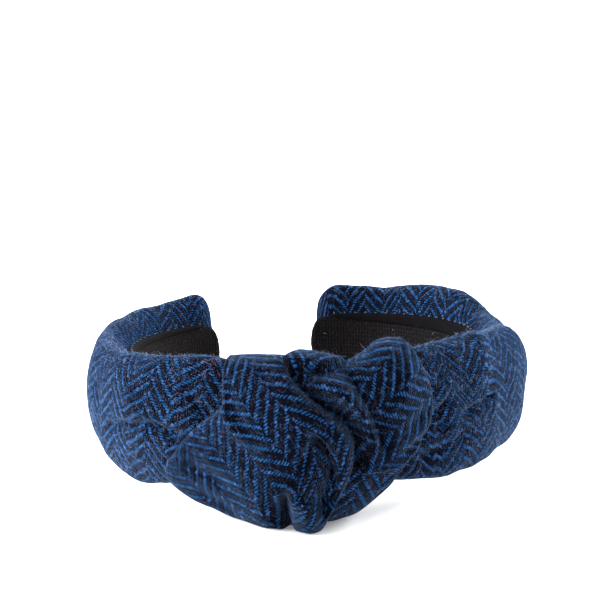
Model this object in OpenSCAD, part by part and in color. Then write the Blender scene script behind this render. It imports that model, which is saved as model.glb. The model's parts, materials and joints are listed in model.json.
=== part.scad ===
// Knotted headband, millimetres, lying at rest on a table with the knot towards -Y.
// The band is drawn flat round its own axis and then tipped back onto its three resting points.
// Angles round the band run from 0 at the front to 180 at the back, positive on the +X side.

/* [Band] */
// Inside radius of the band, where the lining meets the head
head_r = 61; // [54:1:74]
// Angle from the front to the end of each leg
tip_a = 161; // [150:1:166]
// Padded thickness at the front
roll_front = 17; // [14:0.5:22]
// Padded thickness at the sides
roll_side = 18; // [14:0.5:22]
// Padded thickness at the tips
roll_tip = 12; // [10:0.5:16]
// Half height of the padded roll beside the knot
crest_front = 24.5; // [20:0.5:30]
// Half height of the padded roll at the sides
crest_side = 20; // [17:0.5:26]
// Half height of the padded roll at the tips
crest_tip = 19.5; // [16:0.5:24]

/* [Layers] */
// Thickness of the knit lining
lining_t = 1.4; // [0.8:0.1:2]
// Half width of the lining from the front to the sides
lining_half = 13.5; // [11:0.5:15]
// Half width of the lining at the tips
lining_half_tip = 10.5; // [8:0.5:11]
// Width of the smooth ribbon along the lining's upper edge
ribbon_w = 3.4; // [2:0.2:5]
// Thickness of the plastic band
core_t = 2.2; // [1.8:0.1:3]
// How far the lining covers each edge of the plastic band
core_inset = 1.5; // [1:0.1:3]
// Thickness of the tweed
tweed_t = 1.2; // [0.8:0.1:1.6]
// Gap kept between layers
layer_gap = 0.2; // [0.1:0.05:0.3]

/* [Flex] */
// Angle from the front to the place where each leg flexes
flex_a = 58; // [54:1:64]
// How far each leg's layers stop short of the flex line, in degrees
flex_gap_a = 1.6; // [1.5:0.1:2.5]
// How far the round end of each leg's plastic band stands proud of it
knuckle_rise = 0.2; // [0.1:0.05:0.3]
// Running clearance round that end
knuckle_gap = 0.06; // [0.05:0.01:0.1]

/* [Knot] */
// Angle of the knot's middle
knot_a = -15; // [-18:1:-8]
// Angle from the knot's middle to its edges
knot_half_a = 33; // [30:1:34]
// Distance from the head to the centres of the knot's main folds
knot_rise = 19; // [16:1:24]
// How far the knot's top fold stands above the roll beside it
knot_over = 2.5; // [1:0.5:5]
// How far the knot's lowest fold hangs below the roll beside it
knot_under = 4.5; // [2:0.5:6]
// Radius of the knot's largest fold
fold_r = 14; // [12:0.5:16]
// Depth of padding left under the knot
knot_seat_t = 10; // [8:0.5:11]

/* [Stitches] */
// Thickness of the sewing thread
thread_d = 0.6; // [0.4:0.1:0.9]
// Length of one slip stitch
stitch_len = 2.4; // [1.6:0.2:3.2]
// Angle between slip stitches
stitch_step_a = 4; // [3:0.5:8]

/* [Hidden] */

tweed = "#24468a";
knit = "#1b1b1e";
satin = "#26262a";
plastic = "#2e2e30";
wadding = "#e9e6dd";
thread = "#17233f";

smooth = 48;            // facets of a full circle
bulge = 2.6;            // squareness of the roll's outline
skin_steps = 20;        // steps round the tweed
ring_step_a = 6;        // angle between the rings of a swept layer
tip_cap_a = 1.1;        // angle taken by the knit cap on each tip
tip_fold_a = 0.2;       // gap between the cap and the layers it closes
cap_inset = 0.3;        // the cap stands inside the tweed's fold by this much
core_in_r = head_r + lining_t + layer_gap;
core_out_r = core_in_r + core_t;
hinge_r = core_in_r + core_t / 2;
knuckle_r = core_t / 2 + knuckle_rise;
foam_in = core_out_r + knuckle_rise + layer_gap / 2 - head_r;
seat_back = 0.61;       // the seat's ends stand this far back from the flex line
seat_back_a = asin(seat_back / hinge_r);
layer_end_a = tip_a - tip_cap_a - tip_fold_a;
ribbon_end_a = tip_a - 8;               // the ribbon dies away before the tip
knot_r = head_r + knot_rise;
knot_top = crest_front + knot_over;
knot_low = crest_front + knot_under;
knot_left_a = knot_a - knot_half_a;
knot_right_a = knot_a + knot_half_a + 1;
squeeze_a = 0.5;        // angle over which the padding drops to its squeezed size

// The strands pass over and under the band on their way to the inside.
wrap_ball_r = 5.5;
wrap_r = head_r + 7;
wrap_z = crest_front - wrap_ball_r;

// The band rests on the knot's lowest fold and on the lower edges of its tips.
low_fold_r = fold_r - 2;
low_fold_z = -(knot_low - low_fold_r);
low_fold_a = knot_a - 2;
low_fold_y = (knot_r - 1) * cos(low_fold_a);
tip_y = (head_r + roll_tip / 2) * -cos(tip_a);
rest_run = low_fold_y + tip_y;
rest_rise = crest_tip + low_fold_z;
rest_tilt = asin(low_fold_r / norm([rest_run, rest_rise])) - atan2(rest_rise, rest_run);
rest_z = tip_y * sin(rest_tilt) + crest_tip * cos(rest_tilt);
front_reach = knot_r * cos(knot_a) + fold_r;
back_reach = (head_r + roll_tip) * -cos(tip_a);
rest_y = (front_reach - back_reach) / 2 * cos(rest_tilt);

// The knot's folds, each as spheres at [angle, radius, height, size]
fold_gap = 0.1;
wadding_lumps = [
    [knot_a - 20, knot_r - 5, 0, fold_r - 6], [knot_a, knot_r - 3, 0, fold_r - 4],
    [knot_a + 20, knot_r - 5, 0, fold_r - 6]];
front_lumps = [
    [knot_a - 23, knot_r - 4, knot_top - 19, fold_r - 3],
    [knot_a - 23, knot_r - 5, -11, fold_r - 3],
    [low_fold_a, knot_r - 1, low_fold_z, low_fold_r],
    [knot_a, knot_r, knot_top - fold_r, fold_r],
    [knot_a + 10, knot_r, 0, fold_r - 2],
    for (z = [-wrap_z, wrap_z]) [knot_a - 18, wrap_r, z, wrap_ball_r],
    for (z = [-wrap_z, wrap_z]) [knot_a, wrap_r, z, wrap_ball_r]];
right_lumps = [
    [knot_a + 14, knot_r - 2, knot_top - 17, fold_r - 2],
    [knot_a + 25, knot_r - 5, knot_top - 18, fold_r - 3],
    [knot_a + 25, knot_r - 4, -6, fold_r - 4],
    [knot_a + 12, wrap_r, wrap_z, wrap_ball_r], [knot_a + 24, wrap_r, wrap_z, wrap_ball_r]];
under_lumps = [
    [knot_a + 11, knot_r - 2, -17, fold_r - 4], [knot_a + 20, knot_r - 3, -14, fold_r - 5],
    [knot_a + 10, wrap_r, -wrap_z, wrap_ball_r], [knot_a + 22, wrap_r, -wrap_z, wrap_ball_r]];
ply_lumps = [
    [knot_a + 6, knot_r + 6, -8, fold_r / 2 - 1], [knot_a + 7, knot_r + 3, -18, fold_r / 2 - 1]];
tuck_lumps = [
    [knot_a + 3, knot_r - 9, knot_top - 7, fold_r - 6],
    [knot_a + 12, knot_r - 9, knot_top - 7, fold_r - 6]];

// Thickness, crest and lining width of the roll at an angle round the band
function roll(a) = lookup(abs(a), [[0, roll_front], [90, roll_side], [tip_a, roll_tip]]);
function crest(a) = lookup(abs(a), [[25, crest_front], [90, crest_side], [tip_a, crest_tip]]);
function lining_edge(a) = lookup(
    -cos(a), [[-1, lining_half], [0, lining_half], [-cos(tip_a), lining_half_tip]]);

// A point at an angle round the band, a radius and a height
function at(a, r, z) = [r * sin(a), -r * cos(a), z];

// A point on a roll's outline, inset by some thickness, at an angle round the section
function outline(thick, half_h, inset, t) =
    let (half = thick / 2, wide = half - inset, high = half_h - inset, c = cos(t), s = sin(t))
    [half + wide * sign(c) * pow(abs(c), 2 / bulge), high * sign(s) * pow(abs(s), 2 / bulge)];

// Section angle at which the roll's outline comes down to the lining's edge, on its inner side
function edge_t(a, inset) =
    180 - asin(pow((lining_edge(a) + layer_gap) / (crest(a) - inset), bulge / 2));

// Angles of the rings from one end of a layer to the other
function rings(from, to) =
    let (n = max(2, ceil((to - from) / ring_step_a)))
    [for (i = [0:n]) from + (to - from) * i / n];

// Points along the outline from one end of an arc that is even about the outermost point
function outline_arc(a, thick, half_h, inset, end_t) = [
    for (i = [0:skin_steps])
        let (p = outline(thick, half_h, inset, end_t * (2 * i / skin_steps - 1)))
        at(a, head_r + p[0], p[1])
];

function reversed(list) = [for (i = [len(list) - 1:-1:0]) list[i]];

function skin_ring(a) = concat(
    outline_arc(a, roll(a), crest(a), 0, edge_t(a, 0)),
    reversed(outline_arc(a, roll(a), crest(a), tweed_t, edge_t(a, tweed_t))));

// The padding is cut flat where it lies on the plastic band
function foam_ring(a, thick, half_h) =
    let (inset = tweed_t + layer_gap, half = thick / 2)
    outline_arc(a, thick, half_h, inset,
        acos(-pow((half - foam_in) / (half - inset), bulge / 2)));

function foam_rings(from, to) = [for (a = rings(from, to)) foam_ring(a, roll(a), crest(a))];

// Under the knot the padding is squeezed thin and low
function squeezed_rings(from, to) = [for (a = rings(from, to)) foam_ring(a, knot_seat_t, crest_side)];

function cap_ring(a) = [
    for (i = [0:skin_steps - 1])
        let (p = outline(roll(a), crest(a), cap_inset, 360 * i / skin_steps))
        at(a, head_r + p[0], p[1])
];

// Joins rings of points into a closed solid. An open section's ends are closed strip by strip.
module loft(sections, open_section = false) {
    n = len(sections[0]);
    last = (len(sections) - 1) * n;
    side_faces = [
        for (i = [0:len(sections) - 2], j = [0:n - 1])
            let (k = (j + 1) % n, a = i * n, b = a + n)
            each [[a + j, a + k, b + j], [a + k, b + k, b + j]]
    ];
    half = n / 2;
    end_faces = open_section
        ? [for (i = [0:half - 2]) each [
            [i, n - 1 - i, n - 2 - i, i + 1],
            [last + i, last + i + 1, last + n - 2 - i, last + n - 1 - i]]]
        : [[for (i = [n - 1:-1:0]) i], [for (i = [0:n - 1]) last + i]];
    polyhedron([for (section = sections) each section], concat(side_faces, end_faces));
}

// Lays the flat-drawn band at rest on the table
module lay() {
    translate([0, rest_y, rest_z]) rotate([-rest_tilt, 0, 0]) children();
}

// Draws on the +X side as it is, or mirrored for the left
module hand(side) {
    if (side == "left") {
        mirror([1, 0, 0]) children();
    } else {
        children();
    }
}

// A true ring between two radii, two heights and two angles
module arc_strip(r1, r2, z1, z2, from, to) {
    rotate([0, 0, from - 90]) rotate_extrude(angle = to - from, $fn = smooth * 4)
        polygon([[r1, z1], [r2, z1], [r2, z2], [r1, z2]]);
}

// The side view that narrows a strip towards the tips, some way inside the lining's edges
module taper(inset, low = -1, high = 1) {
    reach = head_r + roll_side;
    half = lining_half - inset;
    half_back = half - (lining_half - lining_half_tip) * reach / (head_r * -cos(tip_a));
    rotate([90, 0, 90]) linear_extrude(reach * 2, center = true) polygon([
        [-reach, low * half], [0, low * half], [reach, low * half_back],
        [reach, high * half_back], [0, high * half], [-reach, high * half]]);
}

module lining_strip(from, to) {
    intersection() {
        arc_strip(head_r, head_r + lining_t, -lining_half, lining_half, from, to);
        translate([0, 0, -ribbon_w - layer_gap / 2]) taper(0, 0, 1);
    }
    intersection() {
        arc_strip(head_r, head_r + lining_t, -lining_half, 0, from, to);
        taper(0, -1, 0);
    }
}

module ribbon_strip(from, to) {
    difference() {
        intersection() {
            arc_strip(head_r, head_r + lining_t, 0, lining_half, from, to);
            taper(0, 0, 1);
        }
        translate([0, 0, -ribbon_w]) taper(0, -1, 1);
    }
}

// Round end of a leg's plastic band, or the seat for it
module knuckle(r) {
    half = lining_half - core_inset;
    translate(at(flex_a, hinge_r, -half)) cylinder(r = r, h = half * 2, $fn = smooth);
}

// Slip stitches that join the tweed to the lining along one edge
module slip_stitches(from, to, side) {
    for (a = [from : stitch_step_a : to]) {
        edge = side * (lining_edge(a) + layer_gap / 2);
        translate(at(a, head_r + lining_t - thread_d, edge - stitch_len / 2))
            cylinder(d = thread_d, h = stitch_len, $fn = smooth);
    }
}

// Spheres at [angle, radius, height, size] wrapped together, all larger by some amount
module wrapped(lumps, more) {
    hull() for (p = lumps) translate(at(p[0], p[1], p[2])) sphere(p[3] + more, $fn = 24);
}

// A fold of the knot, which makes room for the band and for the folds that lie in it
module fold(lumps, held) {
    difference() {
        wrapped(lumps, 0);
        for (other = held) wrapped(other, fold_gap);
        translate([0, 0, -60]) cylinder(r = head_r + lining_t, h = 120, $fn = smooth * 4);
        translate([0, 0, -crest_side]) cylinder(
            r = head_r + knot_seat_t + tweed_t, h = crest_side * 2, $fn = smooth * 4);
    }
}

// Crown: the front of the band, which carries the knot

module crown_core() {
    color(plastic) lay() difference() {
        intersection() {
            arc_strip(core_in_r, core_out_r, -lining_half, lining_half,
                -flex_a + seat_back_a, flex_a - seat_back_a);
            taper(core_inset);
        }
        knuckle(knuckle_r + knuckle_gap);
        mirror([1, 0, 0]) knuckle(knuckle_r + knuckle_gap);
    }
}

module crown_foam() {
    color(wadding) lay() loft(concat(
        foam_rings(-flex_a + flex_gap_a, knot_left_a),
        squeezed_rings(knot_left_a + squeeze_a, knot_right_a - squeeze_a),
        foam_rings(knot_right_a, flex_a - flex_gap_a)));
}

module crown_cover_left() {
    color(tweed) lay()
        loft([for (a = rings(-flex_a + flex_gap_a, knot_left_a)) skin_ring(a)], true);
}

module crown_cover_right() {
    color(tweed) lay()
        loft([for (a = rings(knot_right_a, flex_a - flex_gap_a)) skin_ring(a)], true);
}

module crown_lining() {
    color(knit) lay() lining_strip(-flex_a + flex_gap_a, flex_a - flex_gap_a);
}

module crown_ribbon() {
    color(satin) lay() ribbon_strip(-flex_a + flex_gap_a, flex_a - flex_gap_a);
}

module crown_stitches() {
    color(thread) lay() for (side = [-1, 1]) {
        slip_stitches(-flex_a + stitch_step_a, knot_left_a - 1, side);
        slip_stitches(knot_right_a + 1, flex_a - stitch_step_a, side);
    }
}

// Knot: two strands of the tweed tied round each other, packed with wadding

module knot_wadding() {
    color(wadding) lay() fold(wadding_lumps, []);
}

module knot_inner_ply() {
    color(tweed) lay() fold(ply_lumps, [wadding_lumps]);
}

module knot_front_lobe() {
    color(tweed) lay() fold(front_lumps, [wadding_lumps, ply_lumps]);
}

module knot_right_lobe() {
    color(tweed) lay() fold(right_lumps, [wadding_lumps, ply_lumps, front_lumps]);
}

module knot_under_lobe() {
    color(tweed) lay() fold(under_lumps, [wadding_lumps, ply_lumps, front_lumps, right_lumps]);
}

module knot_top_tuck() {
    color(tweed) lay() fold(tuck_lumps, [wadding_lumps, front_lumps, right_lumps]);
}

// Lock stitches on the inside, where the knot's strands are caught down to the lining's edges
module knot_stitches() {
    reach = crest_side + 1.5 - lining_half;
    color(thread) lay() for (a = [knot_a - 12 : 4 : knot_a + 20], side = [-1, 1])
        translate(at(a, head_r + lining_t, side * (lining_half + reach / 2 - 1)))
            cylinder(d = thread_d, h = reach + 2, center = true, $fn = smooth);
}

// Legs: the two sides of the band, from the flex line to the tip

module leg_core(side) {
    color(plastic) lay() hand(side) intersection() {
        union() {
            arc_strip(core_in_r, core_out_r, -lining_half, lining_half,
                flex_a, layer_end_a - tip_fold_a);
            knuckle(knuckle_r);
        }
        taper(core_inset);
    }
}

module leg_foam(side) {
    color(wadding) lay() hand(side)
        loft(foam_rings(flex_a + flex_gap_a, layer_end_a));
}

module leg_cover(side) {
    color(tweed) lay() hand(side)
        loft([for (a = rings(flex_a + flex_gap_a, layer_end_a)) skin_ring(a)], true);
}

module leg_lining(side) {
    color(knit) lay() hand(side) lining_strip(flex_a + flex_gap_a, layer_end_a);
}

module leg_ribbon(side) {
    color(satin) lay() hand(side) ribbon_strip(flex_a + flex_gap_a, ribbon_end_a);
}

module leg_tip_cap(side) {
    color(knit) lay() hand(side)
        loft([for (a = [layer_end_a + tip_fold_a, tip_a]) cap_ring(a)]);
}

module leg_stitches(side) {
    color(thread) lay() hand(side) for (edge = [-1, 1])
        slip_stitches(flex_a + stitch_step_a, layer_end_a - stitch_step_a, edge);
}

crown_core();
crown_foam();
crown_cover_left();
crown_cover_right();
crown_lining();
crown_ribbon();
crown_stitches();
knot_wadding();
knot_front_lobe();
knot_right_lobe();
knot_under_lobe();
knot_inner_ply();
knot_top_tuck();
knot_stitches();
leg_core("left");  // left_core
leg_foam("left");  // left_foam
leg_cover("left");  // left_cover
leg_lining("left");  // left_lining
leg_ribbon("left");  // left_ribbon
leg_tip_cap("left");  // left_tip_cap
leg_stitches("left");  // left_stitches
leg_core("right");  // right_core
leg_foam("right");  // right_foam
leg_cover("right");  // right_cover
leg_lining("right");  // right_lining
leg_ribbon("right");  // right_ribbon
leg_tip_cap("right");  // right_tip_cap
leg_stitches("right");  // right_stitches
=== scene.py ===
"""Knotted headband in herringbone tweed: the cloth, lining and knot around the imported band."""
import json
import math

import bmesh
import bpy
import numpy as np
from mathutils import Matrix, Vector, noise


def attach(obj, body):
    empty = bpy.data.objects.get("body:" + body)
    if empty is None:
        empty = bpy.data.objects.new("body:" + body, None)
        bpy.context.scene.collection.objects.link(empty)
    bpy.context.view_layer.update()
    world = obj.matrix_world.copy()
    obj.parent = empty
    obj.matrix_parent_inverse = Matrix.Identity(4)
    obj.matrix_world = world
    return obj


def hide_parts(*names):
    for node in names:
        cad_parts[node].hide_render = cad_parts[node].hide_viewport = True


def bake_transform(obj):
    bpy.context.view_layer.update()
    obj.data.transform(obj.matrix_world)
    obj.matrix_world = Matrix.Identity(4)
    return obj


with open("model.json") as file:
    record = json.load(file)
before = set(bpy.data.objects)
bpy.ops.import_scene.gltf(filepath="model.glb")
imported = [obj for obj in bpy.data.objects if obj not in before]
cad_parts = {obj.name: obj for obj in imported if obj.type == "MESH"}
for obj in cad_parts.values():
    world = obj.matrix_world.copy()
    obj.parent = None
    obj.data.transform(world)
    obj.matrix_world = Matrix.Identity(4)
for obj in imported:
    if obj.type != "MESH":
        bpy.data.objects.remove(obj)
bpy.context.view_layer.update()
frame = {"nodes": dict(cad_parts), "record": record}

bl_info = {
    "name": "Knotted headband",
    "version": (1, 0, 0),
    "blender": (4, 5, 0),
    "location": "3D View > Sidebar > Headband",
    "description": "Tweed covers, knot, lining and stitches for a padded headband",
    "category": "Object",
}

MM = 0.001
HEAD = next(m for m in frame["record"]["mounts"] if m["name"] == "head")
HEAD_R = HEAD["dims"]["r_mm"]
LINING_HALF = HEAD["dims"]["length_mm"] / 2

# Band space: millimetres, flat, with its axis on the head mount's; +Z is the band's own up.
BAND_UP = Vector(HEAD["axis"]).normalized()
BAND_X = Vector((1, 0, 0))
BAND_Y = BAND_UP.cross(BAND_X).normalized()
BAND_TURN = Matrix((BAND_X, BAND_Y, BAND_UP)).transposed()
BAND_ORIGIN = Vector(HEAD["pos_m"])

TIP_A = 161.0          # degrees from the front to the end of each leg
KNOT_A = -15.0         # degrees from the front to the knot's middle
RIBBON_END_A = 156.0   # degrees from the front to the end of the ribbon
FACE_R = 78.0          # radius on which lengths along a roll's face are measured (mm)
ROLL_MIDDLE = 8.5      # from the head's surface to the middle of a roll (mm)
FLOOR_ROUNDING = 0.5   # how softly the lowest cloth flattens on the floor (mm)


def to_frame(points):
    """Band-space millimetres to the frame's metres. What would sink into the floor lies on it."""
    turn = np.array(BAND_TURN)
    placed = np.asarray(points, float) * MM @ turn.T + np.array(BAND_ORIGIN)
    z = placed[..., 2]
    placed[..., 2] = (z + np.sqrt(z * z + (FLOOR_ROUNDING * MM) ** 2)) / 2
    return placed


def band_point(angle, radius, height):
    """Band-space point at an angle round the band (degrees), a radius and a height (mm)."""
    a = np.radians(angle)
    return np.stack(np.broadcast_arrays(radius * np.sin(a), -radius * np.cos(a), height), -1)


def between(x, xs, ys):
    """A smooth curve through given values."""
    x = np.clip(np.asarray(x, float), xs[0], xs[-1])
    xs, ys = np.asarray(xs, float), np.asarray(ys, float)
    slopes = np.gradient(ys, xs)
    i = np.clip(np.searchsorted(xs, x, side="right") - 1, 0, len(xs) - 2)
    gap = xs[i + 1] - xs[i]
    t = (x - xs[i]) / gap
    return (ys[i] * (1 + 2 * t) * (1 - t) ** 2 + ys[i + 1] * t * t * (3 - 2 * t)
            + gap * (slopes[i] * t * (1 - t) ** 2 - slopes[i + 1] * t * t * (1 - t)))


def ramp(x, start, end):
    """0 before start, 1 after end, smooth between."""
    t = np.clip((np.asarray(x, float) - start) / (end - start), 0, 1)
    return t * t * (3 - 2 * t)


def rounded(wave, power):
    """A sine or cosine for a rounded section. A power below 1 squares the section."""
    return np.sign(wave) * np.abs(wave) ** power


def wrapped(grid):
    """A grid with its first column again after its last."""
    return np.concatenate([grid, grid[:, :1]], axis=1)


def smooth_noise(points, size, seed):
    """Soft noise from -1 to 1 at band-space points, with lumps of about size mm."""
    shift = Vector((seed * 13.7, seed * 7.1, seed * 3.3))
    flat = np.asarray(points).reshape(-1, 3)
    values = [noise.noise(Vector(p) / size + shift) for p in flat]
    return np.array(values).reshape(np.asarray(points).shape[:-1])


# ---------------------------------------------------------------- settings


class HeadbandSizes(bpy.types.PropertyGroup):
    thread_pitch: bpy.props.FloatProperty(
        name="Thread pitch", description="Distance between the tweed's threads",
        default=0.78 * MM, min=0.5 * MM, max=2 * MM, subtype="DISTANCE", unit="LENGTH")
    column_threads: bpy.props.IntProperty(
        name="Column threads", description="Threads across one herringbone column",
        default=12, min=6, max=24)
    crest_front: bpy.props.FloatProperty(
        name="Front half height", description="Half height of the padded roll beside the knot",
        default=24.5 * MM, min=18 * MM, max=30 * MM, subtype="DISTANCE", unit="LENGTH")
    crest_side: bpy.props.FloatProperty(
        name="Side half height", description="Half height of the padded roll at the sides",
        default=20.5 * MM, min=15 * MM, max=28 * MM, subtype="DISTANCE", unit="LENGTH")
    crest_tip: bpy.props.FloatProperty(
        name="Tip half height", description="Half height of the padded roll at the tips",
        default=19 * MM, min=12 * MM, max=26 * MM, subtype="DISTANCE", unit="LENGTH")
    tip_rise: bpy.props.FloatProperty(
        name="Tip rise", description="How much higher the upper edge stands at the tips",
        default=2.6 * MM, min=0, max=5 * MM, subtype="DISTANCE", unit="LENGTH")
    hairs: bpy.props.IntProperty(
        name="Wool hairs", description="Loose wool hairs on each cover and on the knot",
        default=5400, min=0, max=7000)


class HeadbandColours(bpy.types.PropertyGroup):
    weft: bpy.props.FloatVectorProperty(
        name="Weft", description="Blue thread of the tweed",
        default=(0.0046, 0.055, 0.145), size=3, min=0, max=1, subtype="COLOR")
    warp: bpy.props.FloatVectorProperty(
        name="Warp", description="Near-black thread of the tweed",
        default=(0.0018, 0.0022, 0.0045), size=3, min=0, max=1, subtype="COLOR")
    fuzz: bpy.props.FloatVectorProperty(
        name="Fuzz", description="Pale wool hairs",
        default=(0.09, 0.14, 0.32), size=3, min=0, max=1, subtype="COLOR")
    knit: bpy.props.FloatVectorProperty(
        name="Knit", description="Lining knit",
        default=(0.0062, 0.0056, 0.0062), size=3, min=0, max=1, subtype="COLOR")


def sizes():
    return bpy.context.scene.headband_sizes


def colours():
    return bpy.context.scene.headband_colours


# ---------------------------------------------------------------- materials


class Net:
    """A material's node tree, with sums written as calls."""

    def __init__(self, name):
        self.material = bpy.data.materials.new(name)
        self.material.use_nodes = True
        self.tree = self.material.node_tree
        self.shader = self.tree.nodes["Principled BSDF"]

    def node(self, kind, **settings):
        made = self.tree.nodes.new(kind)
        for key, value in settings.items():
            setattr(made, key, value)
        return made

    def join(self, value, socket):
        if isinstance(value, bpy.types.NodeSocket):
            self.tree.links.new(value, socket)
        else:
            socket.default_value = value

    def math(self, operation, *values):
        made = self.node("ShaderNodeMath", operation=operation)
        for value, socket in zip(values, made.inputs):
            self.join(value, socket)
        return made.outputs[0]

    def plus(self, a, b):
        return self.math("ADD", a, b)

    def minus(self, a, b):
        return self.math("SUBTRACT", a, b)

    def times(self, a, b):
        return self.math("MULTIPLY", a, b)

    def over(self, a, b):
        return self.math("DIVIDE", a, b)

    def cloth(self):
        """The piece's cloth map, in millimetres, and its two directions."""
        uv = self.node("ShaderNodeUVMap", uv_map="cloth").outputs[0]
        place = self.node("ShaderNodeSeparateXYZ")
        self.join(uv, place.inputs[0])
        return uv, place.outputs[0], place.outputs[1]

    def on_object(self):
        return self.node("ShaderNodeTexCoord").outputs["Object"]

    def colour(self, socket):
        self.join(socket, self.shader.inputs["Base Color"])

    def mix(self, amount, a, b):
        made = self.node("ShaderNodeMix", data_type="RGBA")
        self.join(amount, made.inputs[0])
        self.join(a if isinstance(a, bpy.types.NodeSocket) else (*a, 1), made.inputs[6])
        self.join(b if isinstance(b, bpy.types.NodeSocket) else (*b, 1), made.inputs[7])
        return made.outputs[2]

    def noise(self, vector, scale, detail=2.0, rough=0.5):
        made = self.node("ShaderNodeTexNoise")
        self.join(vector, made.inputs["Vector"])
        made.inputs["Scale"].default_value = scale
        made.inputs["Detail"].default_value = detail
        made.inputs["Roughness"].default_value = rough
        return made.outputs[0]

    def random_of(self, x, y, salt=0.0):
        vector = self.node("ShaderNodeCombineXYZ")
        self.join(x, vector.inputs[0])
        self.join(y, vector.inputs[1])
        vector.inputs[2].default_value = salt
        made = self.node("ShaderNodeTexWhiteNoise", noise_dimensions="3D")
        self.join(vector.outputs[0], made.inputs["Vector"])
        return made.outputs["Value"]

    def bump(self, height, distance):
        made = self.node("ShaderNodeBump")
        made.inputs["Strength"].default_value = 1.0
        made.inputs["Distance"].default_value = distance
        self.join(height, made.inputs["Height"])
        self.join(made.outputs[0], self.shader.inputs["Normal"])

    def set(self, **values):
        for key, value in values.items():
            self.shader.inputs[key.replace("_", " ")].default_value = value


FLOAT = 3.0            # threads that each float passes over, in a 3/3 twill


def tweed_material():
    """3/3 herringbone twill: blue weft over near-black warp, turned round every column."""
    net = Net("herringbone_tweed")
    pitch = sizes().thread_pitch / MM
    threads = sizes().column_threads
    uv, u, v = net.cloth()
    sway = net.noise(uv, 0.22, 3.0)
    sway = net.times(net.minus(sway, 0.5), 1.3)
    jitter = net.noise(uv, 1.3, 3.0, 0.6)
    jitter = net.times(net.minus(jitter, 0.5), 0.75)
    shift = net.plus(sway, jitter)
    x = net.over(net.plus(u, shift), pitch)
    y = net.over(net.minus(v, shift), pitch)
    end = net.math("FLOOR", x)
    pick = net.math("FLOOR", y)
    column = net.math("FLOOR", net.over(end, threads))
    odd = net.math("FLOORED_MODULO", column, 2.0)
    turn = net.minus(1.0, net.times(odd, 2.0))
    step = net.math("FLOORED_MODULO", net.plus(end, net.times(pick, turn)), 2 * FLOAT)
    weft_up = net.math("LESS_THAN", step, FLOAT - 0.5)
    in_x = net.math("FRACT", x)
    in_y = net.math("FRACT", y)

    def hump(t, power):
        centred = net.math("ABSOLUTE", net.minus(net.times(t, 2.0), 1.0))
        return net.minus(1.0, net.math("POWER", centred, power))

    weft_along = net.over(net.plus(step, in_x), FLOAT)
    weft_h = net.times(hump(in_y, 1.7), hump(weft_along, 3.0))
    down_y = net.minus(1.0, in_y)
    with_y = net.plus(net.times(in_y, net.minus(1.0, odd)), net.times(down_y, odd))
    warp_along = net.over(net.plus(net.minus(step, FLOAT), with_y), FLOAT)
    warp_h = net.times(hump(in_x, 2.0), hump(warp_along, 4.0))
    warp_h = net.times(warp_h, 0.75)
    height = net.plus(net.times(weft_h, weft_up), net.times(warp_h, net.minus(1.0, weft_up)))
    height = net.math("MAXIMUM", height, 0.0)

    # Each float of yarn has its own shade, and the yarn's fibres run finely along it
    own = net.random_of(end, pick)
    of_pick = net.random_of(pick, 3.0, 5.0)
    streaks = net.node("ShaderNodeCombineXYZ")
    along = net.plus(net.times(x, 1.1), net.times(y, 0.9))
    net.join(along, streaks.inputs[0])
    net.join(net.times(net.minus(y, net.times(x, 0.28)), 4.5), streaks.inputs[1])
    fibre = net.noise(streaks.outputs[0], 1.6, 3.0, 0.75)
    broad = net.noise(uv, 0.05, 3.0, 0.6)
    shade = net.plus(0.15, net.times(own, 0.85))
    shade = net.plus(shade, net.times(of_pick, 0.2))
    shade = net.times(shade, net.plus(-0.55, net.times(fibre, 3.0)))
    shade = net.math("MAXIMUM", shade, 0.02)
    shade = net.times(shade, net.plus(0.5, broad))
    # Darker towards the warp's black where each weft float dips under its neighbours: partly the
    # black warp showing between the yarns, partly painted shade in the gaps between yarns and at
    # the floats' ends.
    crown = net.node("ShaderNodeMapRange", interpolation_type="SMOOTHSTEP")
    net.join(height, crown.inputs[0])
    crown.inputs[1].default_value = 0.3
    crown.inputs[2].default_value = 0.95
    shade = net.times(shade, crown.outputs[0])
    weft = Vector(colours().weft)
    violet = Vector((weft[0] * 2.6, weft[1] * 0.85, weft[2] * 1.2))
    tint = net.times(net.noise(uv, 0.3, 2.0), 0.8)
    hue = net.mix(tint, tuple(weft * 1.5), tuple(violet * 1.5))
    blue = net.mix(shade, tuple(Vector(colours().warp) * 1.2), hue)
    pale = net.math("GREATER_THAN", net.random_of(end, pick, 2.0), 0.95)
    blue = net.mix(net.times(pale, net.times(fibre, 0.8)), blue, (0.06, 0.13, 0.34))
    crimson = net.math("GREATER_THAN", net.random_of(end, pick, 4.0), 0.994)
    black = net.mix(net.times(fibre, 0.5), tuple(colours().warp), (0.006, 0.007, 0.012))
    dark = net.mix(net.times(crimson, 0.7), black, (0.05, 0.006, 0.02))
    cloth = net.mix(weft_up, dark, blue)
    # Stray hairs lie across the threads
    hairs = net.node("ShaderNodeTexVoronoi", feature="DISTANCE_TO_EDGE")
    bent = net.node("ShaderNodeVectorMath", operation="ADD")
    net.join(uv, bent.inputs[0])
    curl = net.node("ShaderNodeTexNoise")
    net.join(uv, curl.inputs["Vector"])
    curl.inputs["Scale"].default_value = 0.6
    net.join(curl.outputs["Color"], bent.inputs[1])
    net.join(bent.outputs[0], hairs.inputs["Vector"])
    hairs.inputs["Scale"].default_value = 0.45
    hair = net.math("LESS_THAN", hairs.outputs["Distance"], 0.03)
    patch = net.math("GREATER_THAN", net.noise(uv, 0.33), 0.52)
    hair = net.times(hair, patch)
    cloth = net.mix(net.times(hair, 0.25), cloth, (0.05, 0.10, 0.26))
    net.colour(cloth)
    rough_height = net.plus(height, net.times(fibre, 0.6))
    net.bump(rough_height, 0.34 * MM)
    net.set(Roughness=1.0, Specular_IOR_Level=0.0, Sheen_Weight=0.22, Sheen_Roughness=0.18,
            Sheen_Tint=(0.42, 0.62, 0.95, 1))
    return net.material


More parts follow.
